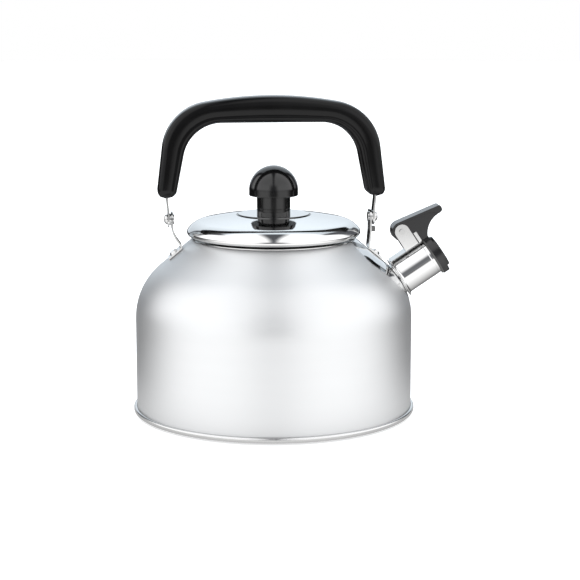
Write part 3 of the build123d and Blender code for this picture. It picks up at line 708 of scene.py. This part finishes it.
# ---------------------------------------------------------------- studio
# The camera: metres, and angles off the line to the kettle's axis
VIEW_TURN = math.radians(5.5)
CAMERA_DISTANCE = 1.178
CAMERA_HEIGHT = 0.304
CAMERA_YAW = math.radians(0.576)
CAMERA_TILT = math.radians(10.357)
LENS = 101.86
SENSOR_WIDTH = 36.0
# The sky: strength of the two boxes, of their part overhead and behind it, of the backdrop
# low down and high up, and the light between them all
FRONT_LIGHT = 1.72
OVERHEAD = 0.93
SIDE_SPILL = 1.0
BACK_LOW = 0.88
BACK_HIGH = 1.28
BACK_TINT = (0.90, 0.99, 1.06)
EDGE_DIP = 0.28
DIM = (0.13, 0.135, 0.15)
# The floor as the camera sees it, and the table that reflections see in its place: its
# strength towards the camera and away from it, and under the kettle
FLOOR_RADIUS = 6.0
FLOOR_GAP = 0.0002
FLOOR_COLOUR = (0.86, 0.87, 0.88, 1.0)
FLOOR_GLOW = 0.45
TABLE_FRONT = 1.64
TABLE_BACK = 0.18
TABLE_BLEND = 0.16
TABLE_EDGE = (0.80, 1.05)
TABLE_BEYOND = 0.08
BOX_FOOT_SHARE = 0.85
BOX_FOOT_START = (0.12, 0.5)
BOX_FOOT_END = (1.0, 1.6)
SEAM_SHADE = (0.099, 0.15)
UNDER_SHARE = 0.6

toward_camera = Vector((-math.sin(VIEW_TURN), -math.cos(VIEW_TURN), 0.0))
to_right = Vector((math.cos(VIEW_TURN), -math.sin(VIEW_TURN), 0.0))

camera_data = bpy.data.cameras.new("camera")
camera_data.lens = LENS
camera_data.sensor_width = SENSOR_WIDTH
camera = bpy.data.objects.new("camera", camera_data)
bpy.context.scene.collection.objects.link(camera)
camera.location = toward_camera * CAMERA_DISTANCE + Vector((0, 0, CAMERA_HEIGHT))
aim = (-toward_camera * math.cos(CAMERA_YAW) + to_right * math.sin(CAMERA_YAW)) * math.cos(
    CAMERA_TILT
) + Vector((0, 0, -math.sin(CAMERA_TILT)))
camera.rotation_mode = "QUATERNION"
camera.rotation_quaternion = aim.to_track_quat("-Z", "Y")
bpy.context.scene.camera = camera
bpy.context.scene.view_settings.view_transform = "Standard"

# Floor: a wide pale disc. Reflections see it as the lit table round the kettle, brightest
# towards the camera. It ends at TABLE_EDGE, but reaches on under the two boxes.
floor_mesh = bpy.data.meshes.new("floor")
shape = bmesh.new()
bmesh.ops.create_circle(shape, cap_ends=True, segments=96, radius=FLOOR_RADIUS)
shape.to_mesh(floor_mesh)
shape.free()
floor = bpy.data.objects.new("floor", floor_mesh)
bpy.context.scene.collection.objects.link(floor)
floor.location.z = cad_box[0].z - FLOOR_GAP
material, tree, shader, position = new_material("floor_white")
shader.inputs["Base Color"].default_value = FLOOR_COLOUR
shader.inputs["Roughness"].default_value = 0.9
shader.inputs["Specular IOR Level"].default_value = 0.1
shader.inputs["Emission Color"].default_value = (1.0, 1.0, 1.0, 1.0)
shader.inputs["Emission Strength"].default_value = FLOOR_GLOW
from_axis = add(tree, "ShaderNodeVectorMath", {0: position}, operation="LENGTH").outputs["Value"]
forward = add(tree, "ShaderNodeVectorMath", {0: position, 1: toward_camera},
              operation="DOT_PRODUCT").outputs["Value"]
sideways = add(tree, "ShaderNodeVectorMath", {0: position, 1: to_right},
               operation="DOT_PRODUCT").outputs["Value"]
off_middle = math_node(tree, "ABSOLUTE", math_node(tree, "ARCTAN2", sideways, forward))
box_foot = math_node(tree, "MULTIPLY", remap(tree, off_middle, *BOX_FOOT_START, smooth=True),
                     remap(tree, off_middle, *BOX_FOOT_END, 1.0, 0.0, smooth=True))
far_edge = math_node(tree, "MAXIMUM", math_node(tree, "MULTIPLY", box_foot, BOX_FOOT_SHARE),
                     remap(tree, from_axis, *TABLE_EDGE, 1.0, TABLE_BEYOND, smooth=True))
table = remap(tree, forward, -TABLE_BLEND, TABLE_BLEND, TABLE_BACK, TABLE_FRONT, smooth=True)
table = math_node(tree, "MULTIPLY", table, far_edge)
table = math_node(tree, "MULTIPLY", table,
                  remap(tree, from_axis, *SEAM_SHADE, UNDER_SHARE, 1.0, smooth=True))
lit_table = add(tree, "ShaderNodeEmission", {"Strength": table})
path = add(tree, "ShaderNodeLightPath")
chosen = add(tree, "ShaderNodeMixShader",
             {0: path.outputs["Is Camera Ray"], 1: lit_table.outputs[0], 2: shader.outputs[0]})
output = next(node for node in tree.nodes if node.type == "OUTPUT_MATERIAL")
tree.links.new(chosen.outputs[0], output.inputs[0])
paint(floor, material)

# Studio light: soft boxes painted on the sky, in the directions they stand in, angles in
# degrees. turn is the angle round the kettle from the camera's side. pitch runs from that
# side over the top to the back, and aside is the angle off that plane.
world = bpy.data.worlds.new("studio")
bpy.context.scene.world = world
world.use_nodes = True
sky = world.node_tree
sky.nodes.clear()
DEGREES = 180 / math.pi
direction = add(sky, "ShaderNodeTexCoord").outputs["Generated"]
front = add(sky, "ShaderNodeVectorMath", {0: direction, 1: toward_camera},
            operation="DOT_PRODUCT").outputs["Value"]
right = add(sky, "ShaderNodeVectorMath", {0: direction, 1: to_right},
            operation="DOT_PRODUCT").outputs["Value"]
up = add(sky, "ShaderNodeSeparateXYZ", {0: direction}).outputs[2]
turn = math_node(sky, "ABSOLUTE",
                 math_node(sky, "MULTIPLY", math_node(sky, "ARCTAN2", right, front), DEGREES))
pitch = math_node(sky, "MULTIPLY", math_node(sky, "ARCTAN2", up, front), DEGREES)
aside = math_node(sky, "ABSOLUTE",
                  math_node(sky, "MULTIPLY", math_node(sky, "ARCSINE", right), DEGREES))
elevation = math_node(sky, "MULTIPLY", math_node(sky, "ARCSINE", up), DEGREES)


def times(*values):
    """The product of values or sockets on the sky's tree."""
    product = values[0]
    for value in values[1:]:
        product = math_node(sky, "MULTIPLY", product, value)
    return product


def coloured(colour, amount):
    """A colour scaled by an amount."""
    return add(sky, "ShaderNodeVectorMath", {0: colour, 3: amount}, operation="SCALE").outputs[0]


# Two tall boxes left and right of the camera: low down they are soft and brightest to the
# sides, and overhead only a narrow gap is left between them
OVERHEAD_START = (12.0, 38.0)
FRONT_GAP = (5.0, 27.0)
SIDE_END = (106.0, 136.0)
HORIZON = (-1.0, 3.0)
GAP_WIDENS = (60.0, 100.0)
GAP_HALF = (4.0, 8.0)
GAP_BLUR = 4.0
TOP_END = (102.0, 112.0)
SPILL_ASIDE = (34.0, 52.0)
SPILL_REACH = 40.0
rise = remap(sky, elevation, *OVERHEAD_START, smooth=True)
low_part = times(
    remap(sky, turn, *FRONT_GAP, 0.06, 1.0, smooth=True),
    remap(sky, turn, *SIDE_END, 1.0, 0.0, smooth=True),
    remap(sky, elevation, *HORIZON, 0.3, 1.0, smooth=True),
)
past_gap = math_node(sky, "SUBTRACT", aside,
                     remap(sky, pitch, *GAP_WIDENS, *GAP_HALF, smooth=True))
past_top = math_node(sky, "SUBTRACT", pitch,
                     remap(sky, aside, *SPILL_ASIDE, 0.0, SPILL_REACH, smooth=True))
over_top = math_node(
    sky, "MAXIMUM", remap(sky, pitch, *TOP_END, 1.0, 0.0, smooth=True),
    math_node(sky, "MULTIPLY", SIDE_SPILL,
              remap(sky, past_top, *TOP_END, 1.0, 0.0, smooth=True)),
)
high_part = times(
    remap(sky, past_gap, -GAP_BLUR, GAP_BLUR, smooth=True),
    over_top,
    remap(sky, pitch, 50.0, 85.0, 0.93, 1.08, smooth=True),
    OVERHEAD,
)
boxes = math_node(sky, "ADD", times(low_part, math_node(sky, "SUBTRACT", 1.0, rise)),
                  times(high_part, rise))
front_boxes = coloured((1.0, 1.0, 1.0), times(boxes, FRONT_LIGHT))
# A bluish backdrop that rises over the top towards them, a little darker off its middle
BACKDROP_START = (100.0, 112.0)
BACKDROP_SIDE = (29.0, 33.0)
BACKDROP_RISE = (7.0, 27.0)
DIP_ASIDE = (8.0, 30.0)
DIP_RISE = (2.0, 10.0)
backdrop = times(
    remap(sky, pitch, *BACKDROP_START, smooth=True),
    remap(sky, aside, *BACKDROP_SIDE, 1.0, 0.0, smooth=True),
    remap(sky, elevation, *BACKDROP_RISE, BACK_LOW, BACK_HIGH),
    math_node(sky, "SUBTRACT", 1.0, times(
        EDGE_DIP, remap(sky, aside, *DIP_ASIDE), remap(sky, elevation, *DIP_RISE, smooth=True))),
)
backdrop = coloured(BACK_TINT, backdrop)
total = add(sky, "ShaderNodeVectorMath", {0: front_boxes, 1: backdrop}, operation="ADD").outputs[0]
total = add(sky, "ShaderNodeVectorMath", {0: total, 1: DIM}, operation="ADD").outputs[0]
seen = add(sky, "ShaderNodeLightPath").outputs["Is Camera Ray"]
colour = mix_colour(sky, seen, total, (1.0, 1.0, 1.0, 1.0))
background = add(sky, "ShaderNodeBackground", {"Color": colour, "Strength": 1.0})
output = add(sky, "ShaderNodeOutputWorld")
sky.links.new(background.outputs[0], output.inputs[0])
